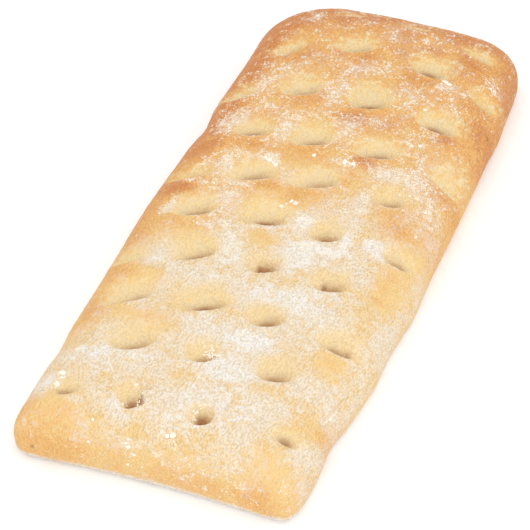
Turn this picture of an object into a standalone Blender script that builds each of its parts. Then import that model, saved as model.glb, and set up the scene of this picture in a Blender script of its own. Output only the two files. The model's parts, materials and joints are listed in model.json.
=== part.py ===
"""Sheet focaccia: one flat loaf with rounded shoulders, pressed in by staggered rows of finger marks.

Units are metres and +Z is up. +X runs across the loaf and +Y along it, with the near end at -Y. The loaf
lies flat on its base at height 0, and the origin is under the middle of its box. The top is a grid laid out
over the loaf's plan and lifted to its shoulder profile. The sides are rings drawn out from the edge of that
grid, over the belt and in to the base.
"""

import math

import bmesh
import bpy
from mathutils import Vector, noise

MM = 0.001

# The outline, seen from above. A bulge is how far a side stands out at its middle; the near end is drawn in.
HALF_WIDTH = 61.4 * MM
HALF_LENGTH = 158.7 * MM
LEFT_BULGE = 2.1 * MM
RIGHT_BULGE = 4.6 * MM
NEAR_BULGE = -3.2 * MM
FAR_BULGE = 4.6 * MM
LEFT_TAPER = -1.4 * MM      # how much less the left side stands out at the far end

# Reach and squareness of each corner: 2 is a round corner, and higher is squarer
NEAR_LEFT_CORNER = (30 * MM, 8.0)
NEAR_RIGHT_CORNER = (30 * MM, 7.0)
FAR_LEFT_CORNER = (45 * MM, 3.1)
FAR_RIGHT_CORNER = (36 * MM, 4.1)

# Dents and bulges along the long sides: side, place along the loaf, depth inwards, half breadth
SIDE_DENTS = (
    (-1, -107 * MM, 1.0 * MM, 9 * MM),
    (-1, -10 * MM, -1.2 * MM, 24 * MM),
    (-1, 54 * MM, 1.9 * MM, 10 * MM),
    (-1, 134 * MM, -1.6 * MM, 12 * MM),
    (1, -114 * MM, 2.4 * MM, 15 * MM),
    (1, -72 * MM, -0.9 * MM, 12 * MM),
    (1, -24 * MM, -1.4 * MM, 16 * MM),
    (1, 104 * MM, -0.8 * MM, 10 * MM),
)

# The section: the top falls over a shoulder to the belt, where the sides stand out most, and turns in below
THICKNESS = 28.1 * MM
BELT_HEIGHT = 9.8 * MM
SHOULDER_WIDTH = 23.8 * MM
SIDE_FALL = 0.08            # the share of its rise that the top has lost at the long sides
FOOT_INSET = 4.0 * MM

# Finger marks, near row first: the row's place along the loaf, how much further along its right end lies
# than its middle, and how far both ends bow back toward the near end; then each mark's place across the loaf
# and the radius of its bowl. All are in millimetres.
FINGER_ROWS = (
    (-136, 1, 0, ((-49, 7.5), (-16, 8), (15, 8.5), (48, 8.5))),
    (-102, 0, 3, ((-30, 10), (0, 8.5), (31, 9.5))),
    (-70, 0, 8, ((-41, 11), (-10, 11.5), (18, 9), (50, 8.5))),
    (-39, 0, 5, ((-53, 9), (-23, 10), (4, 7.5), (34, 9))),
    (-10, 0, 4, ((-38, 10.5), (-9, 12), (22, 8), (52, 8))),
    (21, 4, 10, ((-44, 9.5), (-21, 11), (7, 10.5), (39, 8.5))),
    (52, 0, 9, ((-35, 9), (-7, 10.5), (24, 10.5), (56, 9))),
    (85, 0, 14, ((-43, 9), (-22, 10), (7, 10.5), (39, 10))),
    (122, 0, 22, ((-38, 9.5), (-10, 10.5), (23, 10.5), (54, 9))),
    (150, 0, 24, ((-19, 10), (9, 10), (42, 9))),
)
BOWL_STEEPNESS = 0.36       # a bowl's depth for each unit of its radius
BOWL_LENGTH = 0.8           # a bowl's reach along the loaf for each unit of its reach across
NEAR_WALL = 0.75            # how much closer the near wall stands than the middle of the bowl
PIT_SHARE = 0.55            # the pit's radius for each unit of the bowl's
PIT_DEPTH = 2.6 * MM        # in a bowl of the usual radius; a tighter mark is pressed deeper
USUAL_RADIUS = 10.5 * MM
PIT_GAIN = 1.2              # how much deeper the pit is for each unit that the bowl is tighter

# The trough that joins the marks of a row, deeper toward the far end and toward the left side
TROUGH_DEPTH = 0.9 * MM
TROUGH_NEAR_SHARE = 0.3     # how much of that depth is left at the near end
TROUGH_LEFT_DEPTH = 1.2 * MM
TROUGH_HALF_BREADTH = 9.0 * MM

# Broad unevenness of the baked top
SWELL_HEIGHT = 0.9 * MM
SWELL_LENGTH = 38 * MM
RIPPLE_HEIGHT = 0.35 * MM
RIPPLE_LENGTH = 12 * MM

# The mesh: the top's divisions, how far inside the outline its edge lies, and the rings of the sides
ACROSS = 40
ALONG = 98
EDGE_INSET = 1.5 * MM
SHOULDER_RINGS = 2
UNDER_RINGS = 4
SNAP_REACH = 6.0 * MM       # how far around a mark the grid is shifted to put a point at its bottom
RELIEF_FADE = 0.8           # how quickly the relief fades out down the shoulder


CRUST_COLOUR = (0.82, 0.60, 0.32, 1)
CRUST_ROUGHNESS = 0.75
SHARP_ANGLE = math.radians(60)


def blend(a, b, t):
    return a + (b - a) * t


def side_wave(side, y):
    """How far the dents draw a long side in at this place along it."""
    return sum(depth * math.exp(-(((y - place) / breadth) ** 2))
               for at, place, depth, breadth in SIDE_DENTS if at == side)


def sides_at(x, y):
    """Where the left, right, near and far sides run, level with this point."""
    along = 1 - min(abs(y) / HALF_LENGTH, 1) ** 2
    across = 1 - min(abs(x) / HALF_WIDTH, 1) ** 2
    left = -HALF_WIDTH - LEFT_BULGE * along - LEFT_TAPER * y / HALF_LENGTH + side_wave(-1, y)
    right = HALF_WIDTH + RIGHT_BULGE * along - side_wave(1, y)
    near = -HALF_LENGTH - NEAR_BULGE * across
    far = HALF_LENGTH + FAR_BULGE * across
    return left, right, near, far


def corner_at(x, y):
    if y < 0:
        return NEAR_LEFT_CORNER if x < 0 else NEAR_RIGHT_CORNER
    return FAR_LEFT_CORNER if x < 0 else FAR_RIGHT_CORNER


def into_corner(x, y):
    """How far this point is into the reach of its corner, each way, and by the corner's own round measure."""
    left, right, near, far = sides_at(x, y)
    reach, squareness = corner_at(x, y)
    deep_x = max(reach - min(x - left, right - x), 0)
    deep_y = max(reach - min(y - near, far - y), 0)
    return deep_x, deep_y, (deep_x ** squareness + deep_y ** squareness) ** (1 / squareness)


def inset_at(x, y):
    """Distance in from the loaf's outline, with its rounded corners."""
    reach, _ = corner_at(x, y)
    return reach - into_corner(x, y)[2]


def outward(x, y, step=0.05 * MM):
    """Unit direction in plan that leads straight out of the loaf."""
    slope_x = inset_at(x + step, y) - inset_at(x - step, y)
    slope_y = inset_at(x, y + step) - inset_at(x, y - step)
    return -Vector((slope_x, slope_y)).normalized()


def plan_point(u, v):
    """The place in plan of a point of the square from -1 to 1, pulled in at the rounded corners."""
    left, right, near, far = sides_at(u * HALF_WIDTH, v * HALF_LENGTH)
    x = blend(left + EDGE_INSET, right - EDGE_INSET, (u + 1) / 2)
    y = blend(near + EDGE_INSET, far - EDGE_INSET, (v + 1) / 2)
    deep_x, deep_y, round_depth = into_corner(x, y)
    if deep_x > 0 and deep_y > 0:
        pull = 1 - max(deep_x, deep_y) / round_depth
        x -= math.copysign(pull * deep_x, x)
        y -= math.copysign(pull * deep_y, y)
    return x, y


def row_line(x, middle, slant, bow):
    """Where a row of marks runs, at this place across the loaf."""
    side = x / HALF_WIDTH
    return (middle + slant * side - bow * side ** 2) * MM


def finger_marks():
    """Each mark's centre, bowl radius and pit depth."""
    for middle, slant, bow, marks in FINGER_ROWS:
        for x, radius in marks:
            y = row_line(x * MM, middle, slant, bow)
            yield x * MM, y, radius * MM, PIT_DEPTH + PIT_GAIN * (USUAL_RADIUS - radius * MM)


MARKS = list(finger_marks())


def dip(distance, fullness=2):
    """A smooth hollow of depth 1 at 0 that ends level at 1; a fuller one has a broader floor."""
    return max(1 - distance ** fullness, 0) ** 2


def mark_depth(x, y):
    """How far the finger marks press the top in: wide bowls with a steep near wall, and a pit in each."""
    depth = 0
    for mark_x, mark_y, radius, pit in MARKS:
        length = radius * BOWL_LENGTH * (NEAR_WALL if y < mark_y else 2 - NEAR_WALL)
        distance = math.hypot((x - mark_x) / radius, (y - mark_y) / length)
        depth += BOWL_STEEPNESS * radius * dip(distance, fullness=3) + pit * dip(distance / PIT_SHARE)
    return depth


def trough_depth(x, y):
    """The shallow trough along each row of marks, which runs out to the left side."""
    depth = 0
    far_share = (y + HALF_LENGTH) / (2 * HALF_LENGTH)
    left_share = max(-x / HALF_WIDTH, 0)
    for middle, slant, bow, _ in FINGER_ROWS[1:]:
        past = y - row_line(x, middle, slant, bow)
        half_breadth = TROUGH_HALF_BREADTH * (NEAR_WALL if past < 0 else 2 - NEAR_WALL)
        depth += dip(past / half_breadth)
    return depth * (TROUGH_DEPTH * blend(TROUGH_NEAR_SHARE, 1, far_share) + TROUGH_LEFT_DEPTH * left_share)


def swell(x, y):
    """Broad unevenness of the crust, from two sizes of soft noise."""
    broad = noise.noise(Vector((x, y, 0)) / SWELL_LENGTH)
    fine = noise.noise(Vector((x, y, 0)) / RIPPLE_LENGTH)
    return SWELL_HEIGHT * broad + RIPPLE_HEIGHT * fine


def top_height(x, y):
    """The top's height: a shoulder that curves up from the belt, less the marks and troughs."""
    inset = max(inset_at(x, y), 0)
    climb = min(inset / SHOULDER_WIDTH, 1)
    shoulder = (THICKNESS - BELT_HEIGHT) * math.sqrt(1 - (1 - climb) ** 2)
    crown = shoulder * (1 - SIDE_FALL * (x / HALF_WIDTH) ** 2)
    relief = mark_depth(x, y) + trough_depth(x, y) - swell(x, y)
    return BELT_HEIGHT + crown - relief * climb ** RELIEF_FADE


def snap_to_marks(points):
    """Shifts the plan points a little, so that one lies at the bottom of each mark."""
    for mark_x, mark_y, _, _ in MARKS:
        mark = Vector((mark_x, mark_y))
        nearest = min(points, key=lambda point: (point - mark).length).copy()
        shift = mark - nearest
        for point in points:
            point += shift * math.exp(-((point - nearest).length / SNAP_REACH) ** 2)


def lay_out_top(bm):
    """The top: a grid over the plan, lifted to its height."""
    grid = bmesh.ops.create_grid(bm, x_segments=ACROSS, y_segments=ALONG, size=1)["verts"]
    points = [Vector(plan_point(vert.co.x, vert.co.y)) for vert in grid]
    inner = [point for vert, point in zip(grid, points) if not vert.is_boundary]
    snap_to_marks(inner)
    for vert, (x, y) in zip(grid, points):
        vert.co = (x, y, top_height(x, y))


def side_rings(edge_height):
    """Inset and height of each ring below the top's edge, over the belt and down to the base."""
    for ring in range(1, SHOULDER_RINGS + 1):
        turn = ring / SHOULDER_RINGS
        yield EDGE_INSET * (1 - math.sin(turn * math.pi / 2)), blend(edge_height, BELT_HEIGHT, turn)
    for ring in range(1, UNDER_RINGS + 1):
        turn = ring / UNDER_RINGS * math.pi / 2
        yield FOOT_INSET * (1 - math.cos(turn)), BELT_HEIGHT * (1 - math.sin(turn))


def draw_sides_down(bm):
    """The sides: the top's edge, drawn out ring by ring, and the flat base that closes the last ring."""
    start = bm.verts.layers.float_vector.new("start")
    edge = [e for e in bm.edges if e.is_boundary]
    for vert in {vert for e in edge for vert in e.verts}:
        vert[start] = vert.co
    for ring in range(SHOULDER_RINGS + UNDER_RINGS):
        drawn = bmesh.ops.extrude_edge_only(bm, edges=edge)["geom"]
        edge = [part for part in drawn if isinstance(part, bmesh.types.BMEdge) and part.is_boundary]
        for vert in (part for part in drawn if isinstance(part, bmesh.types.BMVert)):
            x, y, z = vert[start]
            inset, height = list(side_rings(z))[ring]
            reach = outward(x, y) * (EDGE_INSET - inset)
            vert.co = (x + reach.x, y + reach.y, height)
    bmesh.ops.contextual_create(bm, geom=edge)


def centre_over_origin(bm):
    """Moves the loaf in plan, so that the middle of its box stands over the origin."""
    xs = [vert.co.x for vert in bm.verts]
    ys = [vert.co.y for vert in bm.verts]
    middle = Vector((min(xs) + max(xs), min(ys) + max(ys), 0)) / 2
    bmesh.ops.translate(bm, verts=bm.verts, vec=-middle)


def build_loaf():
    bm = bmesh.new()
    lay_out_top(bm)
    draw_sides_down(bm)
    centre_over_origin(bm)
    bmesh.ops.recalc_face_normals(bm, faces=bm.faces)
    mesh = bpy.data.meshes.new("focaccia")
    bm.to_mesh(mesh)
    bm.free()
    mesh.shade_smooth()
    mesh.set_sharp_from_angle(angle=SHARP_ANGLE)
    loaf = bpy.data.objects.new("focaccia", mesh)
    bpy.context.scene.collection.objects.link(loaf)
    return loaf


def crust_material():
    """Golden crust, dusted with flour: light and quite dull."""
    crust = bpy.data.materials.new("crust")
    crust.use_nodes = True
    shader = crust.node_tree.nodes["Principled BSDF"]
    shader.inputs["Base Color"].default_value = CRUST_COLOUR
    shader.inputs["Roughness"].default_value = CRUST_ROUGHNESS
    shader.inputs["Metallic"].default_value = 0
    return crust


for old in list(bpy.data.objects):
    bpy.data.objects.remove(old)
build_loaf().data.materials.append(crust_material())
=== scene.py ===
"""Looks of the sheet focaccia: the baked crust over its plain solid, the flour on it, and the stage.

The file is laid out as an add-on. The properties hold the sizes and colours, one operator bakes the crust,
one dusts it with flour, one drops the lumps of flour and one sets the stage. Units are metres and +Z is up:
the loaf lies along Y, near end at -Y. Places on the loaf are given in millimetres.
"""

import json
import math
from collections import namedtuple

import bmesh
import bpy
import numpy as np
from mathutils import Matrix, Vector

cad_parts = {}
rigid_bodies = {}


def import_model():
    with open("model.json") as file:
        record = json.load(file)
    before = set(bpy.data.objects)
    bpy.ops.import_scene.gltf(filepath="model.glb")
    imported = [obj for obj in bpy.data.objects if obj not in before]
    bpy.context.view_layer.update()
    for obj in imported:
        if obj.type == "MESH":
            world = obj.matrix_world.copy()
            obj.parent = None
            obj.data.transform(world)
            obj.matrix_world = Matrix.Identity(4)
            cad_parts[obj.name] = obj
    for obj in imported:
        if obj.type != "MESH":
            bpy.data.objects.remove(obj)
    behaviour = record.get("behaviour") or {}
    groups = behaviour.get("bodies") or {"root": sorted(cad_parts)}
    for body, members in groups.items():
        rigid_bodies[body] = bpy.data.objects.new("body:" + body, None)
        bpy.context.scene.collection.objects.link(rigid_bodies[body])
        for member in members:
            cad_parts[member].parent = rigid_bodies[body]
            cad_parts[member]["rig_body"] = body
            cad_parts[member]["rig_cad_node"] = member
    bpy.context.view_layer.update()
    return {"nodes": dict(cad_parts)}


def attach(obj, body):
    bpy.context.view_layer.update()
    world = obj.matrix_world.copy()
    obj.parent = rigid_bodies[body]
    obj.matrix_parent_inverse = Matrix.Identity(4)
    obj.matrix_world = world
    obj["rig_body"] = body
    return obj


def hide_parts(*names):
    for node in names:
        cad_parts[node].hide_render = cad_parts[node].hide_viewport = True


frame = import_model()

bl_info = {
    "name": "Sheet focaccia",
    "version": (1, 0, 0),
    "blender": (4, 5, 0),
    "location": "3D View > Sidebar > Focaccia",
    "description": "Bakes a floured crust with finger marks over a plain sheet loaf",
    "category": "Add Mesh",
}

MM = 0.001
LOAF = "focaccia"
BODY = "root"

# Finger marks, near row first: the middle of a mark's near lip (x, y), half the lip's length, how far its
# ends curl away, how deep the dough is pressed and how far back the bowl reaches; then the lip's turn in
# degrees, how dark the bottom of the hole is (browner crust and painted shade together) and how clean of
# flour the bowl is. The last seven are nicks.
Mark = namedtuple("Mark", "x y half curl depth reach turn brown bare")
MARKS = [Mark(*numbers) for numbers in (
    (-46, -144, 6, 2.0, 3.3, 14, 8, 0.3, 0.7),
    (-15.8, -142.6, 3.6, 1.4, 4.6, 14, 34, 0.6, 0.95),
    (14.6, -141.6, 4.4, 2.4, 5.0, 13, 32, 0.7, 0.85),
    (47, -139.6, 4.8, 1.6, 3.4, 9, -3, 0.4, 0.85),

    (-28, -111, 8, 2.9, 4.2, 18, 28, 0.2, 0.9),
    (1, -109, 5.5, 2.2, 3.8, 16, 22, 0.3, 0.8),
    (32, -109.5, 6.5, 2.1, 4.6, 18, 12, 0.4, 0.9),

    (-41, -83, 9, 1.8, 3.6, 19, 33, 0.1, 0.7),
    (-9.5, -79, 9, 2.0, 4.2, 18, 28, 0.6, 0.9),
    (18, -79, 6.5, 2.4, 4.8, 15.5, 22, 0.4, 0.9),
    (48.5, -82.5, 7, 1.6, 3.6, 15, 0, 0.35, 0.85),

    (-52, -57.5, 8, 2.5, 2.0, 16, 12, 0.0, 0.6),
    (-24.5, -48.5, 8, 2.2, 4.0, 15.5, 36, 0.2, 0.9),
    (5.3, -47.3, 6.2, 2.2, 5.6, 14, 24, 0.6, 0.8),
    (35, -49.5, 6.5, 2.5, 4.8, 14, 18, 0.3, 0.9),

    (-36.5, -21, 8.5, 2.5, 4.4, 15.5, 28, 0.2, 0.85),
    (-6.5, -18, 8, 2.2, 4.6, 18, 10, 0.8, 0.9),
    (22, -19.5, 6, 2.6, 4.8, 15.5, 16, 0.5, 0.8),
    (53.5, -20.5, 6, 2.2, 3.6, 12, 2, 0.2, 0.9),

    (-49, 3, 8.5, 2.6, 3.0, 13, 18, 0.0, 0.55),
    (-21.5, 10, 8.5, 1.2, 4.4, 15, 26, 0.2, 0.9),
    (6.5, 13.5, 8.5, 2.0, 4.4, 16, 24, 0.1, 0.9),
    (39, 13, 6.5, 3.0, 4.2, 15, 10, 0.1, 0.8),

    (-34, 39, 7, 2.2, 4.2, 14.5, 18, 0.35, 0.8),
    (-6, 41, 7.5, 1.8, 4.6, 19, 20, 0.35, 0.9),
    (23.5, 42, 8, 1.8, 4.2, 16, 14, 0.35, 0.9),
    (54, 38, 6.5, 1.5, 1.5, 24, -14, 0.0, 0.6),

    (-49, 66, 7.5, 2.6, 3.0, 14, 22, 0.0, 0.55),
    (-22, 75, 7.5, 2.2, 4.2, 17, 28, 0.15, 0.9),
    (8.5, 75, 7.5, 2.5, 5.2, 21, 14, 0.9, 0.95),
    (40, 70.5, 8, 2.6, 4.2, 16, -8, 0.6, 0.9),

    (-38, 105, 7, 1.6, 2.8, 11, 50, 0.0, 0.7),
    (-10, 114.5, 7.5, 1.8, 3.4, 13, 24, 0.0, 0.8),
    (24, 108, 7.5, 2.0, 4.4, 16, -14, 0.55, 0.9),
    (52, 100, 6, 1.8, 2.8, 13, -20, 0.0, 0.55),

    (-23, 141.5, 5.5, 1.0, 1.4, 6, 20, 0.0, 0.5),
    (8.5, 140.5, 5.5, 1.2, 1.8, 7, 0, 0.0, 0.5),
    (42, 129.5, 6, 1.6, 2.6, 11, -10, 0.0, 0.65),

    (-12.4, -140, 1.8, 0.6, 3.0, 3.5, 40, 0.7, 0.2),
    (-13.2, -131.5, 2.2, 0.3, 0.7, 1.5, 28, 0.15, 0.0),
    (20.3, -131.6, 2.4, 0.3, 0.6, 1.2, 15, 0.15, 0.0),
    (4.2, -105.8, 1.6, 0.4, 2.0, 3.0, 10, 0.7, 0.1),
    (53.5, -80.5, 2.2, 0.8, 2.0, 4.0, 20, 0.5, 0.2),
    (31.8, -49.8, 2.4, 0.6, 4.9, 5.0, 10, 0.6, 0.2),
    (3.2, -48.3, 2.2, 0.6, 6.0, 5.0, 20, 0.8, 0.2),
)]

# Small floury folds of the skin: middle (x, y), half the length, how far the ends curl away, half the width,
# height and turn
Fold = namedtuple("Fold", "x y half curl width height turn")
FOLDS = [Fold(*numbers) for numbers in (
    (-14.0, -136.0, 4.5, 0.6, 0.9, 1.7, -66), (-21.5, -141.5, 6, -1.0, 1.0, 0.5, -25),
    (9.9, -136.5, 3.6, 0.5, 0.9, 1.5, -66), (8.5, -131.3, 2.5, 0.5, 0.8, 0.5, 10),
    (-50, -139.5, 5, 1.5, 1.5, 0.9, 10), (-40, -139, 4, 1.0, 1.2, 0.5, 35),
    (-46.5, 1.2, 10, 1.0, 0.8, 0.35, 18), (-28, 8.5, 10, 0.8, 0.7, 0.3, 24),
    (-51, -60, 8, 1.0, 0.8, 0.3, 42), (-47.5, 63, 9, 1.0, 0.8, 0.3, 43),
    (56, 30.8, 3.5, 0.5, 1.0, 0.4, -32), (45.5, -18.5, 5.5, 0.8, 1.3, 0.6, -38),
    (1.5, -11, 3, 0.5, 1.3, 0.8, -35), (7, -13.5, 4, 0.5, 1.2, 0.6, -30), (14.5, -8, 3.5, 0.5, 1.3, 0.7, 60),
    (17, -23.5, 8, -1.5, 1.2, 0.4, 14), (30, -18, 4, 0.8, 1.0, 0.4, 55),
)]

# Flour drifts on the top, near end first: x, y, reach across, reach along, and how thickly the flour lies
DRIFTS = (
    # near end
    (2, -162, 34, 6, 0.12), (40, -156, 14, 8, 0.15), (-3, -149, 18, 8, 0.5), (-18, -147, 6, 2, 0.9),
    (-50, -146, 7, 2, 0.9), (-41, -145, 4, 2, 0.6), (-24, -142, 4, 3, 0.8), (-56, -137, 6, 6, 1.1),
    (58, -133, 5, 6, 0.4), (5, -131, 13, 10, 0.6), (26, -130, 10, 12, 0.5),
    # near half
    (-46, -117, 12, 8, 0.7), (60, -116, 5, 12, 0.35), (-28, -114, 12, 4, 0.5), (44, -112, 7, 6, 0.2),
    (12, -110, 15, 8, 0.9), (14, -90, 12, 6, 1.5), (-10, -88, 7, 8, 0.6), (47, -72, 9, 8, 0.5),
    (28, -62, 12, 9, 0.7), (10, -60, 12, 7, 0.6), (-24, -57, 13, 5, 0.5), (-46, -52, 7, 6, 0.8),
    (38, -52, 8, 4, 0.5),
    # middle
    (-12, -42, 6, 10, 0.65), (14, -36, 9, 8, 0.6), (-15, -33, 6, 6, 0.5), (18, -30, 12, 6, 0.5),
    (-34, -25, 7, 2.5, 0.9), (21, -24.5, 12, 3, 1.7), (47, -19, 3, 3, 1.0), (-51, -18, 3, 5, 0.8),
    (-29, -18, 3, 5, 0.3), (-50, -16, 4, 8, 0.5), (30, -16, 2.5, 6, 1.6), (43, -14, 4.5, 4, 2.0),
    (9, -10, 4.5, 5, 2.0), (-31, -9, 2, 9, 0.3), (-27, -6, 3, 9, 0.3), (-45, 0.5, 6, 1.6, 0.6),
    (22, 2, 9, 6, 0.5), (-25, 5, 8, 1.6, 0.7), (13, 8, 5, 6, 0.5), (28, 14, 4, 10, 0.7),
    (-38, 20, 3.5, 9, 0.7), (56, 24, 6, 12, 0.6), (-20, 27, 4, 3, 1.0), (46, 33, 7, 8, 0.9),
    (-3, 35, 2, 3, 0.9), (12, 35, 5, 4, 0.9), (33, 35, 11, 6, 1.3),
    # far half
    (-51, 46, 7, 8, 0.5), (-46, 50, 9, 11, 0.8), (-22, 50, 5, 12, 1.0), (43, 50, 6, 8, 0.4),
    (5, 54, 5, 9, 0.9), (36, 57, 6, 6, 0.5), (-10, 62, 9, 5, 0.4), (-42, 64, 15, 7, 0.65),
    (38, 66, 11, 5, 0.9), (12, 68, 7, 4, 0.9), (-42, 78, 6, 8, 0.6), (-9, 84, 6, 13, 1.1),
    (23, 88, 7, 8, 0.8), (-52, 90, 6, 14, 0.2), (-34, 92, 11, 15, 0.55), (46, 92, 10, 12, 0.5),
    (37, 103, 9, 5, 0.7), (4, 105, 14, 6, 0.7), (-14, 107, 8, 4, 0.5),
    # far end
    (54, 118, 4, 9, 0.8), (18, 133, 8, 8, 0.6), (1, 134, 5, 8, 0.5), (-37, 137, 4, 6, 0.8),
    (-18, 137, 5, 7, 0.6),
)

# Places that stayed bare of flour, in the same terms
BARE = (
    # near end
    (44, -160, 7, 4, 0.3), (4, -156, 10, 4, 0.3), (-54, -152, 15, 11, 0.9), (47, -150, 11, 9, 0.5),
    (-46, -148, 9, 6, 0.7), (-12, -148, 9, 5, 0.4), (-4, -138, 5, 5, 0.3), (50, -129, 6, 8, 0.3),
    # near half
    (57, -124, 4, 7, 0.5), (-6, -120, 7, 4, 0.4), (28, -116, 6, 4, 0.6), (-30, -91, 13, 6, 0.8),
    (50, -90, 7, 7, 0.8), (-62, -84, 9, 26, 0.9), (-42, -65, 11, 6, 0.7), (49, -61, 8, 8, 0.35),
    # middle
    (55, -36, 7, 13, 0.9), (-39, -29, 12, 11, 0.7), (-64, -28, 8, 30, 0.9), (-3, -27, 8, 5, 0.7),
    (62, -15, 6, 14, 0.5), (-18, -8, 8, 6, 0.4), (-48, -6, 10, 6, 0.7), (50, -2, 8, 8, 0.6),
    (-4, 3, 15, 8, 0.9), (-56, 28, 7, 16, 0.9), (-43, 28, 11, 11, 0.35), (-10, 32, 13, 6, 0.8),
    (-64, 40, 7, 30, 0.6),
    # far half
    (60, 72, 7, 14, 0.4),
    # far end
    (-62, 112, 8, 28, 1.0), (56, 132, 7, 5, 0.5),
)

# Browner places, in the same terms. Those along the left side and at the far end are partly painted shade,
# where the crust turns away from the light.
TOASTED_AND_SHADED = (
    # near end
    (10, -164, 24, 4, 0.35), (30, -163, 22, 5, 0.55), (-20, -162, 60, 5, 0.6), (44, -161, 7, 5, 0.35),
    (58, -156, 14, 9, 0.3), (-45, -155, 14, 9, 0.6), (-62, -148, 6, 9, 0.9), (-35, -133, 5, 2, 0.4),
    (52, -127, 5, 7, 0.4),
    # near half
    (57, -123, 4, 7, 0.6), (-5, -120, 5, 3, 0.4), (60, -118, 6, 13, 0.7), (28, -115, 5, 4, 0.4),
    (-56, -92, 8, 10, 0.5), (-30, -91, 13, 6, 0.6), (50, -89, 6, 5, 0.5), (-54, -86, 8, 14, 0.4),
    (-44, -66, 10, 5, 0.5), (-50, -56, 8, 12, 0.45), (-30, -52, 8, 6, 0.3), (-12, -49, 8, 8, 0.2),
    # middle
    (54, -44, 4, 2, 0.9), (55, -36, 6, 9, 0.8), (-40, -28, 12, 9, 0.7), (-4, -27, 7, 4, 0.5),
    (-26, -19, 8, 8, 0.3), (-29, -14, 11, 13, 0.5), (-50, -5, 11, 5, 0.9), (-20, 0, 3, 3, 0.2),
    (46, 0, 9, 7, 0.8), (16, 2, 8, 8, 0.3), (-1, 4, 5, 7, 1.0), (-36, 6, 11, 13, 0.6), (50, 8, 9, 9, 0.5),
    (-16, 9, 7, 3, 0.8), (60, 10, 5, 20, 0.4), (16, 22, 6, 5, 0.5), (13, 25, 8, 6, 0.4),
    (-42, 28, 9, 9, 0.3), (-50, 32, 7, 9, 0.6), (-28, 33, 8, 3, 0.5), (57, 33, 7, 7, 0.6),
    (46, 37, 8, 8, 0.4), (18, 38, 6, 4, 1.4),
    # far half
    (-36, 62, 12, 10, 0.25), (4, 66, 9, 4, 1.2), (22, 66, 5, 7, 0.6), (48, 68, 4, 4, 1.1),
    (58, 88, 6, 14, 0.9), (-52, 96, 8, 12, 0.6), (-56, 104, 6, 16, 0.8),
    # far end, partly painted shade on the far edge
    (-60, 120, 8, 30, 0.8), (50, 121, 9, 8, 0.7), (22, 127, 6, 4, 1.0), (-45, 132, 12, 8, 0.6),
    (-50, 133, 9, 9, 0.7), (-48, 134, 9, 9, 0.5), (-12, 136, 14, 6, 0.4), (-27, 138, 14, 5, 0.5),
    (38, 142, 20, 6, 1.1), (-10, 146, 12, 4, 0.6), (0, 146, 60, 4, 0.75), (-45, 150, 22, 12, 1.5),
    (-13, 153, 17, 6, 0.8), (5, 156, 50, 6, 0.85),
)

# Scorched specks: x, y and z of the middle, and the reach
SPECKS = ((-52.5, -160.3, 8.9, 0.9), (61.3, 87.5, 16.3, 1.2), (60.6, 76.1, 17.6, 0.9))


def paint(red, green, blue):
    """A colour as a painter's chart gives it, in 0 to 255, made linear for the shaders."""
    def linear(value):
        share = value / 255
        return share / 12.92 if share <= 0.04045 else ((share + 0.055) / 1.055) ** 2.4
    return linear(red), linear(green), linear(blue)


def size_in_mm(name, description, default):
    """A property for a length, its default given in millimetres."""
    return bpy.props.FloatProperty(name=name, description=description, default=default * MM, unit="LENGTH")


def colour(name, description, default):
    """A property for a colour."""
    return bpy.props.FloatVectorProperty(
        name=name, description=description, default=default, subtype="COLOR", min=0, max=1)


class CrustSettings(bpy.types.PropertyGroup):
    """Shape and colours of the baked crust."""
    pale: colour("Pale", "Crust low in a finger mark", paint(245, 221, 174))
    butter: colour("Butter", "Crust at the back of a finger mark", paint(252, 219, 153))
    golden: colour("Golden", "Well baked crust between the marks", paint(246, 210, 146))
    # toasted and scorched also paint shade along the left side, on the flanks, on the ridges before the
    # marks and at the far edge
    toasted: colour("Toasted", "Browner crust on ridges and along the edges", paint(243, 184, 109))
    scorched: colour("Scorched", "The brownest patches", paint(221, 145, 81))
    # painted shade: the darkening just behind the lip of a mark
    shadow: colour("Shadow", "Crust just behind the lip of a mark", paint(202, 163, 117))
    # the bottom of the deepest holes: partly browner crust, partly painted shade
    hole: colour("Hole", "The bottom of the deepest holes", paint(163, 103, 60))
    flour: colour("Flour", "Flour caught in the crust in crisp flecks", paint(255, 243, 222))
    thick: colour("Thick flour", "Flour where it covers the crust", paint(249, 245, 240))
    haze: colour("Haze", "Thin flour rubbed into the crust", paint(247, 236, 220))
    lip: size_in_mm("Lip", "How far the lip of a finger mark stands up", 0.35)
    wrinkles: size_in_mm("Wrinkles", "Height of the soft wrinkles", 0.35)
    grit: size_in_mm("Grit", "Height of the fine roughness", 0.12)


class FlourSettings(bpy.types.PropertyGroup):
    """Flour that lies loose on the crust."""
    white: colour("White", "Loose flour", paint(255, 250, 240))
    cream: colour("Cream", "Flour that has taken some colour from the crust", paint(252, 239, 218))
    seed: bpy.props.IntProperty(name="Seed", description="Draw of the scattered grains", default=7)


class StageSettings(bpy.types.PropertyGroup):
    """Camera, lights and floor."""
    azimuth: bpy.props.FloatProperty(
        name="Azimuth", description="Turn of the camera round the loaf, from the near end",
        default=math.radians(20.32), subtype="ANGLE")
    elevation: bpy.props.FloatProperty(
        name="Elevation", description="Height of the camera as an angle", default=math.radians(39.53),
        subtype="ANGLE")
    distance: bpy.props.FloatProperty(
        name="Distance", description="From the camera to the loaf", default=1.2933, unit="LENGTH")
    lens: bpy.props.FloatProperty(
        name="Lens", description="Focal length in millimetres", default=202.03, unit="CAMERA")
    floor: colour("Floor", "The plain pale floor", (0.96, 0.96, 0.96))


# ---------------------------------------------------------------- helpers for shapes

def only(obj):
    """Selects this object alone and makes it the active one."""
    bpy.ops.object.select_all(action="DESELECT")
    obj.select_set(True)
    bpy.context.view_layer.objects.active = obj


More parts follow.
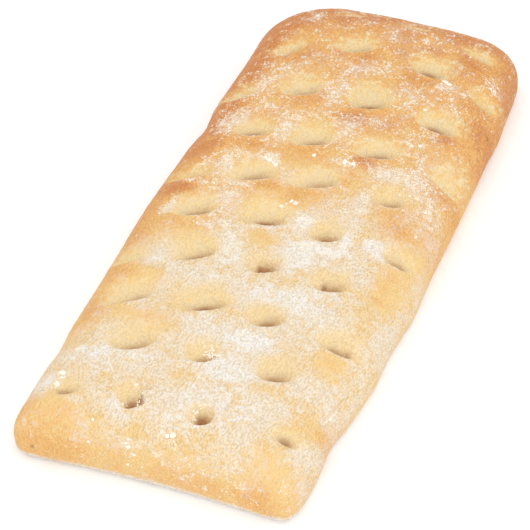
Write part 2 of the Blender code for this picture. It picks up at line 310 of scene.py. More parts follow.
def apply_modifier(obj, kind, name, **settings):
    """Adds a modifier with these settings and applies it."""
    only(obj)
    bpy.ops.object.modifier_add(type=kind)
    modifier = obj.modifiers[-1]
    modifier.name = name
    for key, value in settings.items():
        setattr(modifier, key, value)
    bpy.ops.object.modifier_apply(modifier=modifier.name)


def subdivide(obj, levels):
    """Rounds the object's faces off into finer ones."""
    apply_modifier(obj, "SUBSURF", "finer", levels=levels, render_levels=levels)


def places_of(mesh):
    """Where each point lies, one row a point."""
    places = np.empty(len(mesh.vertices) * 3)
    mesh.vertices.foreach_get("co", places)
    return places.reshape(-1, 3)


def normals_of(mesh):
    """Which way the surface faces at each point, one row a point."""
    normals = np.empty(len(mesh.vertices) * 3)
    mesh.vertices.foreach_get("normal", normals)
    return normals.reshape(-1, 3)


def neighbours_of(mesh):
    """Both ends of each edge, and the number of edges at each point."""
    ends = np.empty(len(mesh.edges) * 2, int)
    mesh.edges.foreach_get("vertices", ends)
    one, other = ends.reshape(-1, 2).T
    count = len(mesh.vertices)
    return one, other, np.bincount(one, minlength=count) + np.bincount(other, minlength=count)


def evened_out(neighbours, values):
    """The values, each blended half and half with its neighbours' mean."""
    one, other, count = neighbours
    total = np.bincount(one, values[other], len(count)) + np.bincount(other, values[one], len(count))
    return (values + total / count) / 2


def weigh(obj, name, weights):
    """A vertex group of this name with a weight for each point."""
    group = obj.vertex_groups.get(name) or obj.vertex_groups.new(name=name)
    for index in np.flatnonzero(weights > 0):
        group.add([int(index)], float(weights[index]), "REPLACE")


def lift(obj, name, heights):
    """Lifts each point by its own height, through a weighted Displace modifier."""
    peak = heights.max()
    weigh(obj, name, heights / peak)
    apply_modifier(obj, "DISPLACE", name, direction="Z", mid_level=0, strength=peak, vertex_group=name)


def keep(mesh, name, values):
    """Stores a value for each point, for the material to read."""
    layer = mesh.attributes.get(name) or mesh.attributes.new(name, "FLOAT", "POINT")
    layer.data.foreach_set("value", np.asarray(values, np.float32))


def soft_sum(places, patches):
    """The patches, each strongest at its middle and fading out past its reach."""
    x, y = places[:, 0] / MM, places[:, 1] / MM
    total = np.zeros(len(places))
    for middle_x, middle_y, reach_x, reach_y, strength in patches:
        away = ((x - middle_x) / reach_x) ** 2 + ((y - middle_y) / reach_y) ** 2
        total += strength * np.exp(-away)
    return total


def smooth_step(values, low, high):
    """0 where the values are below low, rising smoothly to 1 where they are above high."""
    share = np.clip((values - low) / (high - low), 0, 1)
    return share * share * (3 - 2 * share)


# ---------------------------------------------------------------- helpers for materials

def add_node(tree, kind, inputs=(), **settings):
    """Adds a node. Its inputs, by name or number, are values or other nodes' outputs."""
    made = tree.nodes.new(kind)
    for key, value in settings.items():
        setattr(made, key, value)
    for key, value in dict(inputs).items():
        if isinstance(value, bpy.types.NodeSocket):
            tree.links.new(value, made.inputs[key])
        else:
            made.inputs[key].default_value = value
    return made


def attribute(tree, name):
    """A value that the mesh stores for each point."""
    made = add_node(tree, "ShaderNodeAttribute", attribute_name=name, attribute_type="GEOMETRY")
    return made.outputs["Fac"]


def speckle(tree, size, detail=2.0, roughness=0.5, stretch=1.0):
    """Soft noise over the object, with features of this size, drawn out along the loaf."""
    place = add_node(tree, "ShaderNodeTexCoord").outputs["Object"]
    drawn = add_node(tree, "ShaderNodeVectorMath", {0: place, 1: (1, 1 / stretch, 1)}, operation="MULTIPLY")
    made = add_node(tree, "ShaderNodeTexNoise", {
        "Vector": drawn.outputs[0], "Scale": 1 / size, "Detail": detail, "Roughness": roughness})
    return made.outputs["Fac"]


def cells(tree, size, stretch=1.0):
    """Uneven cells of this size: each cell's own chance, 0 to 1, and the way out from its middle."""
    place = add_node(tree, "ShaderNodeTexCoord").outputs["Object"]
    wave = add_node(tree, "ShaderNodeTexNoise", {"Vector": place, "Scale": 1.3 / size, "Detail": 2.0})
    bent = add_node(tree, "ShaderNodeVectorMath",
                    {0: wave.outputs["Color"], 1: (size, size, size), 2: place}, operation="MULTIPLY_ADD")
    drawn = add_node(tree, "ShaderNodeVectorMath", {0: bent.outputs[0], 1: (1, 1 / stretch, 1)},
                     operation="MULTIPLY")
    made = add_node(tree, "ShaderNodeTexVoronoi", {"Vector": drawn.outputs[0], "Scale": 1 / size})
    chance = add_node(tree, "ShaderNodeSeparateColor", {"Color": made.outputs["Color"]}).outputs["Red"]
    return chance, made.outputs["Distance"]


def flecks(tree, size, share):
    """Crisp uneven flecks of this size that cover this share of the surface."""
    chance, way_out = cells(tree, size)
    drawn = step(tree, sums(tree, "SUBTRACT", share, chance), -0.04, 0.04)
    return product(tree, drawn, step(tree, way_out, 0.6, 0.46))


def sums(tree, operation, first, second):
    """One sum of two values."""
    return add_node(tree, "ShaderNodeMath", {0: first, 1: second}, operation=operation).outputs[0]


def product(tree, value, *others):
    """All the values multiplied."""
    for other in others:
        value = sums(tree, "MULTIPLY", value, other)
    return value


def without(tree, value):
    """What the value leaves of 1."""
    return sums(tree, "SUBTRACT", 1.0, value)


def swing(tree, value, *noises):
    """The value, moved up and down by each noise by up to about the amount that comes with it."""
    for noise, amount in noises:
        value = sums(tree, "ADD", value, product(tree, sums(tree, "SUBTRACT", noise, 0.5), 2 * amount))
    return value


def step(tree, value, low, high, top=1.0):
    """0 where the value is below low, rising smoothly to top where it is above high."""
    made = add_node(tree, "ShaderNodeMapRange",
                    {"Value": value, "From Min": low, "From Max": high, "To Max": top},
                    interpolation_type="SMOOTHSTEP")
    return made.outputs["Result"]


def mixed(tree, share, first, second, blend_type="MIX"):
    """This share of the second colour over the first."""
    made = add_node(tree, "ShaderNodeMix", {0: share, 6: first, 7: second}, data_type="RGBA",
                    blend_type=blend_type)
    return made.outputs[2]


def new_material(name, **finish):
    """A material whose shader has these even values."""
    made = bpy.data.materials.new(name)
    made.use_nodes = True
    shader = made.node_tree.nodes["Principled BSDF"]
    for key, value in finish.items():
        shader.inputs[key.replace("_", " ")].default_value = value
    return made, made.node_tree, shader


def rgba(tone):
    """The colour, fully solid."""
    return (*tone, 1)


# Sizes of the crust's patterns, from broad patches of browning down to single grains of flour
BLOTCH = 14 * MM
MOTTLE = 4 * MM
CRUMB = 1.6 * MM
CLUMP = 1.5 * MM
COARSE_FLECK = 1.05 * MM
GRAIN = 0.85 * MM
FINE_FLECK = 0.65 * MM
SAND = 0.6 * MM
FLOUR_PATCH = 1.7 * MM
DRAWN_OUT = 1.5                 # how far crumb and sand are drawn out along the loaf
GRAIN_DRAWN_OUT = 1.6
PORES = (0.86, 0.8, 0.7, 1)     # how much of each colour the painted shade in the pits between the grains keeps
RELIEF = 0.5 * MM               # height of the grain


def baked_tone(tree, tones, toast_and_shade, bowl, shade, blotch, mottle, crumb):
    """Colour of the bare crust, golden to scorched and paler in the bowls, with painted shade behind the
    lips, and how hollow it is.
    """
    # browning with painted shade: along the left side, on the flanks, on the ridges before the marks and at
    # the far edge the browner tone stands in for shade
    browning_and_shade = swing(tree, toast_and_shade, (blotch, 0.8), (mottle, 0.65), (crumb, 0.6))
    tone = mixed(tree, step(tree, browning_and_shade, 0.0, 1.0), rgba(tones.golden), rgba(tones.toasted))
    tone = mixed(tree, step(tree, browning_and_shade, 0.8, 1.7), tone, rgba(tones.scorched))
    hollow = swing(tree, bowl, (mottle, 0.6), (crumb, 0.25))
    tone = mixed(tree, step(tree, hollow, 0.0, 0.6), tone, rgba(tones.butter))
    tone = mixed(tree, step(tree, hollow, 0.3, 0.8), tone, rgba(tones.pale))
    # painted shade just behind the lips of the marks
    shaded = step(tree, swing(tree, shade, (mottle, 0.2)), 0.0, 1.0)
    return mixed(tree, shaded, tone, rgba(tones.shadow)), hollow


def crust_material(tones):
    """The baked crust, with painted shade behind the lips, in the hole bottoms, on the ridges and in the
    pits between the grains, under thin haze, thick patches and crisp flecks of flour, with its grain.
    """
    made, tree, shader = new_material("floured_crust", IOR=1.4)
    bowl, shade, hole, flour, dusting, toast_and_shade, edge = (
        attribute(tree, name) for name in ("bowl", "shade", "hole", "flour", "dusting", "toast_and_shade", "edge"))
    blotch = speckle(tree, BLOTCH, 3)
    mottle = speckle(tree, MOTTLE, 3, 0.6)
    crumb = speckle(tree, CRUMB, 2, 0.6, DRAWN_OUT)
    clump = speckle(tree, CLUMP, 3, 0.7)
    sand = speckle(tree, SAND, 1, 0.5, DRAWN_OUT)
    tone, hollow = baked_tone(tree, tones, toast_and_shade, bowl, shade, blotch, mottle, crumb)
    clean = without(tree, sums(tree, "MAXIMUM", step(tree, hollow, 0.1, 0.7), hole))

    # Flour: thin haze, thick patches, crisp flecks and the lines on the lips
    cover = swing(tree, flour, (blotch, 0.9), (mottle, 0.7), (crumb, 0.5), (sand, 0.2), (clump, 0.5))
    cover = product(tree, step(tree, cover, 0.05, 1.05, 0.85), clean)
    cover = product(tree, cover, without(tree, step(tree, toast_and_shade, 0.3, 1.2, 0.45)))
    tone = mixed(tree, cover, tone, rgba(tones.haze))
    thick = swing(tree, flour, (mottle, 0.9), (crumb, 0.3), (clump, 0.3))
    thick = sums(tree, "SUBTRACT", thick, product(tree, toast_and_shade, 0.4))
    thick = product(tree, step(tree, thick, 0.8, 1.3, 0.95), clean)
    tone = mixed(tree, thick, tone, rgba(tones.thick))
    share = step(tree, swing(tree, dusting, (mottle, 1.0), (clump, 0.3)), 0.2, 1.2, 0.7)
    specks = sums(tree, "MAXIMUM", flecks(tree, COARSE_FLECK, share), flecks(tree, FINE_FLECK, share))
    tone = mixed(tree, product(tree, specks, clean, 0.85), tone, rgba(tones.flour))
    line = step(tree, swing(tree, edge, (mottle, 0.5), (clump, 0.6)), 0.3, 0.9, 0.9)
    tone = mixed(tree, line, tone, rgba(tones.flour))
    # dark hole bottoms, partly browner crust and partly painted shade; the scorched specks are real
    tone = mixed(tree, hole, tone, rgba(tones.hole))

    # Painted shade in the pits between the grains, deepest where the crust is toasted or floured
    grain = cells(tree, GRAIN, GRAIN_DRAWN_OUT)[1]
    depth = sums(tree, "MAXIMUM", step(tree, toast_and_shade, 0.2, 1.0, 0.8), step(tree, flour, 0.1, 0.7, 0.8))
    depth = sums(tree, "SUBTRACT", sums(tree, "ADD", depth, 0.2), product(tree, bowl, 0.7))
    pores = step(tree, swing(tree, grain, (clump, 0.3)), 0.4, 0.7)
    pores = product(tree, pores, depth, without(tree, specks))
    tone = mixed(tree, pores, tone, PORES, "MULTIPLY")
    tree.links.new(tone, shader.inputs["Base Color"])
    rough = sums(tree, "ADD", step(tree, cover, 0.0, 0.8, 0.3), 0.6)
    tree.links.new(rough, shader.inputs["Roughness"])

    bumps = swing(tree, without(tree, grain), (crumb, 0.6), (clump, 0.5))
    bump = add_node(tree, "ShaderNodeBump", {"Height": bumps, "Strength": 1.0, "Distance": RELIEF})
    tree.links.new(bump.outputs["Normal"], shader.inputs["Normal"])
    return made


def flour_material(tones):
    """Loose flour, from white to cream."""
    made, tree, shader = new_material("loose_flour", Roughness=0.95, IOR=1.35)
    share = step(tree, speckle(tree, FLOUR_PATCH), 0.35, 0.65)
    tree.links.new(mixed(tree, share, rgba(tones.cream), rgba(tones.white)), shader.inputs["Base Color"])
    return made


# ---------------------------------------------------------------- finger marks

BOWL_WIDTH = 1.5        # half the bowl's width, for each half length of its lip
FILL_ROUNDS = 160       # rounds of evening out that fill up the deepest of the plain loaf's bowls


def along_and_behind(places, mark):
    """Places along a mark's lip, and behind it, in millimetres."""
    turn = math.radians(mark.turn)
    x = places[:, 0] / MM - mark.x
    y = places[:, 1] / MM - mark.y
    along = x * math.cos(turn) + y * math.sin(turn)
    curl = mark.curl * np.minimum(abs(along / mark.half), BOWL_WIDTH) ** 2
    return along, y * math.cos(turn) - x * math.sin(turn) - curl


def across_the_bowl(along, mark):
    """1 in the middle of the bowl, falling to 0 at its left and right ends."""
    return np.clip(1 - (along / (BOWL_WIDTH * mark.half)) ** 2, 0, 1)


def way_to_rim(places, mark):
    """0 at the middle of the lip, 1 at the bowl's oval rim, and more outside it."""
    along, behind = along_and_behind(places, mark)
    beside = np.minimum(abs(along / (BOWL_WIDTH * mark.half)), 2)
    back = np.maximum(behind, 0) / (mark.reach * np.sqrt(np.maximum(1 - beside ** 2, 0.04)))
    return np.sqrt(beside ** 2 + np.maximum(1 - beside ** 2, 0.04) * back ** 2)


def press_depth(places, mark):
    """How deep the dough is pressed at each place, in millimetres: steep at the lip, easy at the back."""
    along, behind = along_and_behind(places, mark)
    across = across_the_bowl(along, mark)
    back = np.clip(behind / (mark.reach * np.sqrt(across) + 0.01), 0, 1)
    pressed = across ** 2 * (0.5 + 0.5 * np.cos(math.pi * back ** 0.8))
    slack = 1 - across
    return mark.depth * pressed * smooth_step(behind + 0.5 + 4 * slack, 0, 2.7 + 6 * slack)


def lip_height(places, mark):
    """0 to 1: the small bulge of the dough just before a mark."""
    along, behind = along_and_behind(places, mark)
    return across_the_bowl(along, mark) * np.exp(-((behind + 1.1) / 1.1) ** 2)


def fold_share(places, fold):
    """1 on the crest of a fold, fading out to its sides and ends."""
    along, behind = along_and_behind(places, fold)
    return np.clip(1 - (along / fold.half) ** 2, 0, 1) * np.exp(-(behind / fold.width) ** 2)


def most(places, rule, features=MARKS):
    """At each place, what the mark, fold or speck that counts most there gives by this rule."""
    return np.max([rule(places, feature) for feature in features], axis=0)


def fill_marks(crust):
    """Fills up the plain loaf's simple bowls, so that each can be pressed in again with its own shape."""
    places = places_of(crust.data)
    top = normals_of(crust.data)[:, 2] > 0.25
    neighbours = neighbours_of(crust.data)
    height = places[:, 2].copy()
    for _ in range(FILL_ROUNDS):
        height = np.where(top, np.maximum(height, evened_out(neighbours, height)), height)

    def around(places, mark):
        """1 over a mark's bowl, fading out a few millimetres past it."""
        along, behind = along_and_behind(places, mark)
        away = np.hypot(along / (mark.half + 8), (behind - 5) / 12)
        return 1 - smooth_step(away, 0.85, 1.25)

    lift(crust, "fill", (height - places[:, 2]) * most(places, around))


def press_marks(crust, settings):
    """Presses the finger marks in, and lifts their lips and the folds a little."""
    places = places_of(crust.data)
    up = smooth_step(normals_of(crust.data)[:, 2], 0.2, 0.5)
    folds = most(places, lambda places, fold: fold.height * fold_share(places, fold), FOLDS)
    rise = settings.lip * most(places, lip_height) + folds * MM
    depth = most(places, press_depth) * MM
    lift(crust, "lips", rise * up)
    weigh(crust, "pressed", depth * up / depth.max())
    apply_modifier(crust, "DISPLACE", "pressed", direction="Z", mid_level=0, strength=-depth.max(),
                   vertex_group="pressed")


# ---------------------------------------------------------------- crust

WRINKLE_SIZE = 4 * MM
GRIT_SIZE = 1.2 * MM
FINER = 2                       # how often each face of the plain loaf is split in four
QUAD_BEND = math.radians(70)    # how far two triangles may lean apart and still be joined


def copy_of_loaf():
    """A piece of its own from the plain loaf, as quads, and open underneath."""
    only(frame["nodes"][LOAF])
    bpy.ops.object.duplicate()
    crust = bpy.context.active_object
    crust.name = crust.data.name = "crust"
    bpy.ops.object.parent_clear(type="CLEAR_KEEP_TRANSFORM")
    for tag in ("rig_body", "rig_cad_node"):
        del crust[tag]
    crust.data.materials.clear()
    bpy.ops.object.mode_set(mode="EDIT")
    bpy.ops.mesh.select_all(action="SELECT")
    bpy.ops.mesh.customdata_custom_splitnormals_clear()
    bpy.ops.mesh.remove_doubles(threshold=0.01 * MM)
    bpy.ops.mesh.tris_convert_to_quads(face_threshold=QUAD_BEND, shape_threshold=QUAD_BEND)
    bpy.ops.mesh.select_all(action="DESELECT")
    shape = bmesh.from_edit_mesh(crust.data)
    for face in shape.faces:
        face.select = face.normal.z < -0.999
    bmesh.update_edit_mesh(crust.data)
    bpy.ops.mesh.delete(type="FACE")
    bpy.ops.object.mode_set(mode="OBJECT")
    return crust


def close_base(crust):
    """Closes the open underside with one flat face."""
    only(crust)
    bpy.ops.object.mode_set(mode="EDIT")
    bpy.ops.mesh.select_all(action="DESELECT")
    bpy.ops.mesh.select_non_manifold(
        extend=False, use_wire=False, use_multi_face=False, use_non_contiguous=False, use_verts=False)
    bpy.ops.mesh.edge_face_add()
    bpy.ops.object.mode_set(mode="OBJECT")


def crumple(piece, name, size, height):
    """Raises and sinks the piece a little in soft wrinkles of this size."""
    texture = bpy.data.textures.new(name, "CLOUDS")
    texture.noise_scale = size
    texture.noise_depth = 2
    apply_modifier(piece, "DISPLACE", name, texture=texture, texture_coords="LOCAL", mid_level=0.5,
                   strength=height, vertex_group="risen")


def bowl_of(places, mark):
    """How hollow and clean of flour a mark leaves the crust."""
    along, behind = along_and_behind(places, mark)
    slack = 1 - across_the_bowl(along, mark)
    inside = smooth_step(behind + 0.5 + 2 * slack, 0, 1 + 3 * slack)
    return mark.bare * (1 - smooth_step(way_to_rim(places, mark), 0.1, 1.5)) * inside


def shade_of(places, mark):
    """Painted shade on the crust just behind a mark's lip."""
    along, behind = along_and_behind(places, mark)
    middle = np.exp(-((along - 0.15 * mark.half) / (0.8 * mark.half)) ** 2)
    beyond = np.maximum(behind - 0.6 * mark.depth, 0) / (0.85 * mark.depth)
    return 0.9 * min(mark.depth / 4, 1) * middle * smooth_step(behind, -0.2, 0.6) * np.exp(-beyond ** 1.6)


def front_of(places, mark):
    """The ridge before a mark: browner crust, partly painted shade on its slope."""
    along, behind = along_and_behind(places, mark)
    return min(mark.depth / 3, 1) * across_the_bowl(along, mark) * np.exp(-((behind + 5) / 4) ** 2)


def hole_of(places, mark):
    """The darker bottom of a mark: partly browner crust, partly painted shade."""
    along, behind = along_and_behind(places, mark)
    away = np.hypot(along / (0.55 * mark.half + 0.6), (behind - 0.7 * mark.depth) / 3.0)
    return mark.brown * (1 - smooth_step(away, 0.4, 1.0)) * (behind > -0.2)


def edge_of(places, mark):
    """The floury line on a deep mark's lip."""
    along, behind = along_and_behind(places, mark)
    crisp = smooth_step(mark.depth, 1.5, 4.0)
    return crisp * across_the_bowl(along, mark) * np.exp(-((behind + 0.5) / 0.6) ** 2)


def speck_of(places, spot):
    """A scorched speck."""
    away = places / MM - spot[:3]
    return 0.8 * np.exp(-(away ** 2).sum(axis=1) / spot[3] ** 2)


def left_side(x, y):
    """1 along the loaf's left side, fading out inwards and to the near end."""
    return smooth_step(-x, 38 * MM, 60 * MM) * smooth_step(y, -170 * MM, 10 * MM)


def browned_and_shaded(places, up, ahead):
    """How far the crust is toasted: most at the far end, along the left side and on the ridges. Along the
    left side, on the flanks, on the ridges before the marks and at the far edge it is partly painted shade.
    """
    x, y = places[:, 0], places[:, 1]
    right = smooth_step(x, 46 * MM, 64 * MM) * smooth_step(y, 20 * MM, 90 * MM)
    toast_and_shade = 0.05 + 0.7 * smooth_step(y, -50 * MM, 60 * MM) + 0.35 * smooth_step(y, 40 * MM, 150 * MM)
    # partly painted shade along the left side, on the flanks and on the ridges before the marks
    toast_and_shade += left_side(x, y) + 0.2 * right
    toast_and_shade += 0.55 * soft_sum(places, TOASTED_AND_SHADED) + 0.3 * ahead + 0.25 * (1 - smooth_step(up, 0.2, 0.8))
    return toast_and_shade


def floured(places, up, ahead, hollow):
    """How thickly flour covers the crust, and how thickly it lies in flecks and grains."""
    x, y, z = places.T
    # Zones: the near half, the far half, left of the middle, the near right shoulder and the near end's face
    near = smooth_step(y, -168 * MM, -140 * MM) * (1 - smooth_step(y, -20 * MM, 60 * MM))
    far = smooth_step(y, -60 * MM, 40 * MM)
    amid = smooth_step(y, -60 * MM, -20 * MM) * (1 - smooth_step(y, 20 * MM, 60 * MM))
    amid = amid * (1 - smooth_step(x, -20 * MM, 10 * MM))
    shoulder = smooth_step(x, 30 * MM, 50 * MM) * (1 - smooth_step(y, -20 * MM, 30 * MM))
    face = smooth_step(-y, 148 * MM, 158 * MM) * smooth_step(x, -48 * MM, -20 * MM)
    drifts, bare = soft_sum(places, DRIFTS), soft_sum(places, BARE)

    flour = 0.2 + 0.5 * near + (0.6 - 0.15 * far - 0.25 * amid) * drifts
    flour = flour - 0.8 * bare - 0.25 * ahead - 0.4 * left_side(x, y)
    flour = flour * smooth_step(up + 0.6 * shoulder, 0.1, 0.7)
    flour += 0.06 * face * (1 - smooth_step(up, 0.1, 0.7))
    flour += 1.3 * (1 - smooth_step(z, 2 * MM, 6 * MM))
    dusting = 0.1 + 0.2 * far + 0.25 * amid + (0.35 + 0.5 * amid + 0.05 * far) * drifts
    dusting = dusting - 0.8 * bare - 0.2 * ahead
    dusting = dusting * (1 - smooth_step(hollow, 0.3, 0.9)) * smooth_step(up, 0.1, 0.8) + 0.25 * face
    dusting = dusting * smooth_step(z, 0.8 * MM, 2 * MM)
    return flour, dusting


def paint_masks(crust):
    """Stores where the crust is hollow, toasted and floured, and where shade is painted on it."""
    places = places_of(crust.data)
    up = normals_of(crust.data)[:, 2]
    hollow = most(places, bowl_of)
    # the ridge before each mark: browner crust, partly painted shade
    ahead = most(places, front_of) * (0.2 + 0.8 * smooth_step(places[:, 1], -90 * MM, 50 * MM))
    flour, dusting = floured(places, up, ahead, hollow)
    masks = {
        "dusting": np.clip(dusting, 0, 1),
        "bowl": hollow,
        # painted shade behind the lips; the hole bottoms are partly painted shade, with the scorched specks
        "shade": most(places, shade_of),
        "hole": np.maximum(most(places, hole_of), most(places, speck_of, SPECKS)),
        "edge": np.maximum(most(places, edge_of), 0.6 * most(places, fold_share, FOLDS)),
        "toast_and_shade": browned_and_shaded(places, up, ahead),
        "flour": np.clip(flour, 0, 1.5),
    }
    for name, values in masks.items():
        keep(crust.data, name, values)


class BREAD_OT_crust(bpy.types.Operator):
    """Bakes the crust over the plain loaf: its finger marks, wrinkles, toasted colour with painted shade,
    and rubbed-in flour
    """
    bl_idname = "bread.crust"
    bl_label = "Bake the crust"

    def execute(self, context):
        settings = context.scene.crust_settings
        crust = copy_of_loaf()
        fill_marks(crust)
        subdivide(crust, FINER)
        press_marks(crust, settings)
        weigh(crust, "risen", smooth_step(places_of(crust.data)[:, 2], 0.2 * MM, 3 * MM))
        crumple(crust, "wrinkles", WRINKLE_SIZE, settings.wrinkles)
        crumple(crust, "grit", GRIT_SIZE, settings.grit)
        paint_masks(crust)
        crust.vertex_groups.clear()
        close_base(crust)
        only(crust)
        bpy.ops.object.shade_smooth()
        crust.data.materials.append(crust_material(settings))
        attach(crust, BODY)
        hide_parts(LOAF)
        return {"FINISHED"}


# ---------------------------------------------------------------- flour

# Lumps of flour and crumb: x, y, length across, length along and height
LUMPS = (
    (4.5, -149.2, 2.6, 3.2, 1.3), (2.3, -149.8, 1.6, 2.6, 1.0), (-29.4, -151, 1.3, 1.4, 0.8),
    (-29, -157, 1.4, 1.4, 0.8), (-12.3, -155.6, 1.9, 2.4, 1.1), (-11.7, -158.2, 1.3, 1.3, 0.8),
    (-50.7, -131.6, 3.4, 2.4, 1.3), (-50.8, -137.5, 2.8, 2.6, 1.2), (-16.1, 22.6, 2.0, 2.8, 1.3),
    (-19.8, 25, 2.4, 2.2, 0.9), (-22.3, 26.2, 1.8, 1.6, 0.8), (-0.7, 1.1, 1.6, 1.9, 1.0),
    (1.9, 0.5, 1.4, 1.6, 0.8), (-4, -3.5, 1.5, 1.9, 0.9), (-2.7, 34.7, 1.8, 2.6, 0.9),
    (11.8, 34.6, 2.4, 2.8, 1.0), (15.6, 34.5, 2.2, 2.0, 1.0), (34.4, 107.0, 3.6, 2.0, 0.9),
    (36.8, 105.9, 3.2, 1.8, 0.8), (38.7, 58.4, 1.8, 1.8, 0.8), (55.5, 2.6, 1.3, 1.7, 0.8),
    (54.1, 19.2, 1.4, 2, 0.8), (-18.8, -130.5, 1.4, 1.6, 0.9), (57.4, -112, 1.4, 3.0, 0.9),
    (56.8, -114.5, 1.0, 2.0, 0.7), (32.7, 83.5, 1.5, 1.5, 0.8), (-35.8, 92.3, 1.4, 1.6, 0.7),
    (39.6, 128.7, 1.1, 1.1, 0.6), (-38, 137.6, 2.6, 1.4, 0.7),
)

# Little heaps of crumbs: middle (x, y), reach across and reach along, and how many crumbs
HEAPS = (
    (3.0, -102.5, 4.2, 2.4, 34), (1.5, -99.5, 3.0, 1.6, 10), (9.4, -136.5, 1.0, 3.6, 14),
    (11.5, -131.5, 2.5, 1.0, 6), (-14.5, -138.0, 1.2, 3.0, 10), (-20.5, -140, 1.2, 2.0, 6),
    (-50.5, -134.5, 2.0, 3.5, 10), (5.0, -150, 2.5, 2.5, 6), (9, -8, 3.0, 3.0, 8),
    (-17.5, 24.5, 3.0, 2.0, 8), (0, -0.5, 3.5, 2.5, 8), (13.5, 34.5, 3.5, 2.0, 8),
)

BIG_LUMP = 1.2      # a lump wider than this, in millimetres, has finer faces
HIGH_ABOVE = 60     # millimetres up, above all of the loaf, from where the lumps are dropped
MANY_SMALL = 2.5    # the power that chance is raised to, so that most grains are small


def new_primitive(name, add, **settings):
    """A primitive of its own name, added with nothing else selected."""
    bpy.ops.object.select_all(action="DESELECT")
    add(**settings)
    made = bpy.context.active_object
    made.name = made.data.name = name
    return made


def strew(grain, crust, per_square_metre, smallest, largest, cluster, seed):
    """Strews copies of the grain over the crust, most where the flour lies thickest, as one mesh."""
    tree = bpy.data.node_groups.new(grain.name, "GeometryNodeTree")
    for way in ("INPUT", "OUTPUT"):
        tree.interface.new_socket("Geometry", in_out=way, socket_type="NodeSocketGeometry")
    one = add_node(tree, "NodeGroupInput").outputs["Geometry"]
    surface = add_node(tree, "GeometryNodeObjectInfo", {"Object": crust}).outputs["Geometry"]
    lying = add_node(tree, "GeometryNodeInputNamedAttribute", {"Name": "dusting"}).outputs["Attribute"]
    place = add_node(tree, "GeometryNodeInputPosition").outputs["Position"]
    patch = add_node(tree, "ShaderNodeTexNoise",
                     {"Vector": place, "Scale": 1 / cluster, "Detail": 4.0, "Roughness": 0.6})
    density = step(tree, swing(tree, lying, (patch.outputs["Fac"], 1.1)), 0.35, 1.1, per_square_metre)
    spread = add_node(tree, "GeometryNodeDistributePointsOnFaces",
                      {"Mesh": surface, "Density": density, "Seed": seed})
    chance = add_node(tree, "FunctionNodeRandomValue", {2: 0.0, 3: 1.0, "Seed": seed + 1}, data_type="FLOAT")
    share = sums(tree, "POWER", chance.outputs[1], MANY_SMALL)
    size = sums(tree, "ADD", product(tree, share, largest - smallest), smallest)
    turn = add_node(tree, "FunctionNodeRandomValue", {0: (0, 0, 0), 1: (6.28, 6.28, 6.28), "Seed": seed + 2},
                    data_type="FLOAT_VECTOR")
    rotation = add_node(tree, "FunctionNodeEulerToRotation", {0: turn.outputs[0]})
    copies = add_node(tree, "GeometryNodeInstanceOnPoints", {
        "Points": spread.outputs["Points"], "Instance": one, "Rotation": rotation.outputs[0], "Scale": size})
    real = add_node(tree, "GeometryNodeRealizeInstances", {"Geometry": copies.outputs["Instances"]})
    add_node(tree, "NodeGroupOutput", {"Geometry": real.outputs["Geometry"]})
    apply_modifier(grain, "NODES", "strewn", node_group=tree)


class BREAD_OT_dust(bpy.types.Operator):
    """Dusts the crust with loose flour: fine dust, and coarser grains"""
    bl_idname = "bread.dust"
    bl_label = "Dust with flour"

    def execute(self, context):
        settings = context.scene.flour_settings
        crust = bpy.data.objects["crust"]
        flour = flour_material(settings)
        mesh = bpy.ops.mesh
        for name, add, shape, per_square_metre, smallest, largest, cluster, seed in (
            ("flour_dust", mesh.primitive_cone_add, {"vertices": 3, "radius1": 1, "depth": 1.4},
             5e6, 0.14 * MM, 0.36 * MM, 3 * MM, settings.seed),
            ("flour_grains", mesh.primitive_ico_sphere_add, {"subdivisions": 1, "radius": 1},
             5e5, 0.2 * MM, 0.6 * MM, 4 * MM, settings.seed + 10),
        ):
            grain = new_primitive(name, add, **shape)
            bpy.ops.object.shade_smooth()
            strew(grain, crust, per_square_metre, smallest, largest, cluster, seed)
            grain.data.materials.clear()
            grain.data.materials.append(flour)
            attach(grain, BODY)
        return {"FINISHED"}


def crumbs_of_the_heaps(seed):
    """The little heaps' crumbs, drawn by chance, each in the same terms as a lump."""
    chance = np.random.default_rng(seed)
    crumbs = []
    for x, y, reach_x, reach_y, count in HEAPS:
        for _ in range(count):
            crumbs.append((x + reach_x * chance.normal(0, 0.5), y + reach_y * chance.normal(0, 0.5),
                           *chance.uniform(0.45, 1.15, 2), chance.uniform(0.4, 0.9)))
    return crumbs


class BREAD_OT_lumps(bpy.types.Operator):
    """Drops the lumps of flour and crumb where they lie on the crust"""
    bl_idname = "bread.lumps"
    bl_label = "Drop the lumps"

    def execute(self, context):
        crust = bpy.data.objects["crust"]
        lumps = []
        everything = (*LUMPS, *crumbs_of_the_heaps(context.scene.flour_settings.seed))
        for number, (x, y, across, along, tall) in enumerate(everything):
            found, place, _, _ = crust.ray_cast(Vector((x, y, HIGH_ABOVE)) * MM, Vector((0, 0, -1)))
            if not found:
                raise RuntimeError(f"lump {number} lies past the edge of the crust")
            lumps.append(new_primitive(
                f"lump_{number}", bpy.ops.mesh.primitive_ico_sphere_add, radius=0.5, location=place,
                subdivisions=3 if across > BIG_LUMP else 2, scale=(across * MM, along * MM, tall * MM)))
        for lump in lumps:
            lump.select_set(True)
        bpy.ops.object.join()
        heap = context.active_object
        heap.name = heap.data.name = "flour_lumps"
        bpy.ops.object.transform_apply(location=True, rotation=True, scale=True)
        weigh(heap, "risen", np.ones(len(heap.data.vertices)))
        crumple(heap, "lumpy", 0.7 * MM, 0.8 * MM)
        heap.vertex_groups.clear()
        only(heap)
        bpy.ops.object.shade_smooth()
        heap.data.materials.clear()
        heap.data.materials.append(bpy.data.materials["loose_flour"])
        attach(heap, BODY)
        return {"FINISHED"}


# ---------------------------------------------------------------- stage

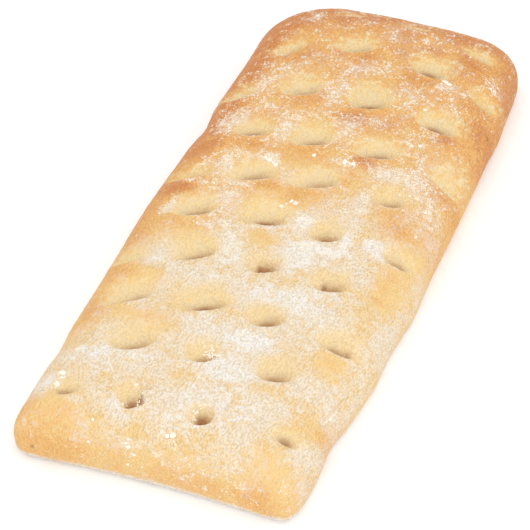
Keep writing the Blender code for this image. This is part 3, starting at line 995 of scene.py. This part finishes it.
# Soft lamps, all turned to the loaf: name, place, side and power
LAMPS = (
    ("front", (0.5, -0.85, 0.5), 0.7, 1.6),
    ("top", (0.1, -0.15, 1.0), 0.7, 2.0),
)
SKY = 0.91                      # strength of the even white light from all round
GLOW = 0.08                     # how much the floor lights itself, so that it stays white
AIM = (-1.26, -2.82, 14.3)      # the point of the loaf that the camera turns round
PICTURE = 530                   # pixels along each side of the picture
AIM_RIGHT, AIM_UP = 22.555, 33.996      # pixels right of and above the picture's middle where it shows
SENSOR = 36                     # width of the camera's film, in millimetres


class BREAD_OT_stage(bpy.types.Operator):
    """Sets the floor, the soft lights and the camera"""
    bl_idname = "bread.stage"
    bl_label = "Set the stage"

    def execute(self, context):
        settings = context.scene.stage_settings
        bpy.ops.object.select_all(action="DESELECT")
        bpy.ops.mesh.primitive_plane_add(size=8, location=(0, 0, -0.05 * MM))
        floor = context.active_object
        floor.name = "floor"
        made, _, shader = new_material("floor", Roughness=0.9, Emission_Strength=GLOW)
        shader.inputs["Emission Color"].default_value = rgba(settings.floor)
        shader.inputs["Base Color"].default_value = rgba(settings.floor)
        floor.data.materials.append(made)
        self.light(context)
        self.camera(context, settings)
        context.scene.view_settings.view_transform = "Standard"
        return {"FINISHED"}

    def light(self, context):
        world = bpy.data.worlds.new("studio")
        world.use_nodes = True
        world.node_tree.nodes["Background"].inputs["Strength"].default_value = SKY
        world.node_tree.nodes["Background"].inputs["Color"].default_value = (1, 1, 1, 1)
        context.scene.world = world
        for name, place, size, power in LAMPS:
            bpy.ops.object.light_add(type="AREA", location=place)
            lamp = context.active_object
            lamp.name = name
            lamp.data.size = size
            lamp.data.energy = power
            lamp.rotation_euler = Vector(place).to_track_quat("Z", "Y").to_euler()

    def camera(self, context, settings):
        turned, raised = settings.azimuth, settings.elevation
        back = Vector((math.sin(turned) * math.cos(raised), -math.cos(turned) * math.cos(raised),
                       math.sin(raised)))
        right = Vector((math.cos(turned), math.sin(turned), 0))
        up = back.cross(right)
        focal = settings.lens / SENSOR * PICTURE
        forward = (-back - right * AIM_RIGHT / focal - up * AIM_UP / focal).normalized()
        side = forward.cross(up).normalized()
        above = side.cross(forward)
        turn = Matrix((side, above, -forward)).transposed()
        place = Vector(AIM) * MM + back * settings.distance
        bpy.ops.object.camera_add(location=place, rotation=turn.to_euler())
        camera = context.active_object
        camera.data.sensor_width = SENSOR
        camera.data.lens = settings.lens
        context.scene.camera = camera


class BREAD_PT_panel(bpy.types.Panel):
    """Lists the steps, first to last, with their sizes and colours"""
    bl_idname = "BREAD_PT_panel"
    bl_label = "Sheet focaccia"
    bl_space_type = "VIEW_3D"
    bl_region_type = "UI"
    bl_category = "Focaccia"

    def draw(self, context):
        scene = context.scene
        for settings, steps in (
            (scene.crust_settings, ("bread.crust",)),
            (scene.flour_settings, ("bread.dust", "bread.lumps")),
            (scene.stage_settings, ("bread.stage",)),
        ):
            box = self.layout.box()
            for name in type(settings).__annotations__:
                box.prop(settings, name)
            for each in steps:
                box.operator(each)


CLASSES = (CrustSettings, FlourSettings, StageSettings, BREAD_OT_crust, BREAD_OT_dust, BREAD_OT_lumps,
           BREAD_OT_stage, BREAD_PT_panel)


def register():
    """Makes the steps, the panel and the settings known."""
    for each in CLASSES:
        bpy.utils.register_class(each)
    bpy.types.Scene.crust_settings = bpy.props.PointerProperty(type=CrustSettings)
    bpy.types.Scene.flour_settings = bpy.props.PointerProperty(type=FlourSettings)
    bpy.types.Scene.stage_settings = bpy.props.PointerProperty(type=StageSettings)


def unregister():
    """Takes them all away again."""
    for each in reversed(CLASSES):
        bpy.utils.unregister_class(each)
    del bpy.types.Scene.crust_settings
    del bpy.types.Scene.flour_settings
    del bpy.types.Scene.stage_settings


def main():
    """Takes all the steps in order."""
    register()
    bpy.ops.bread.crust()
    bpy.ops.bread.dust()
    bpy.ops.bread.lumps()
    bpy.ops.bread.stage()


if __name__ == "__main__":
    main()
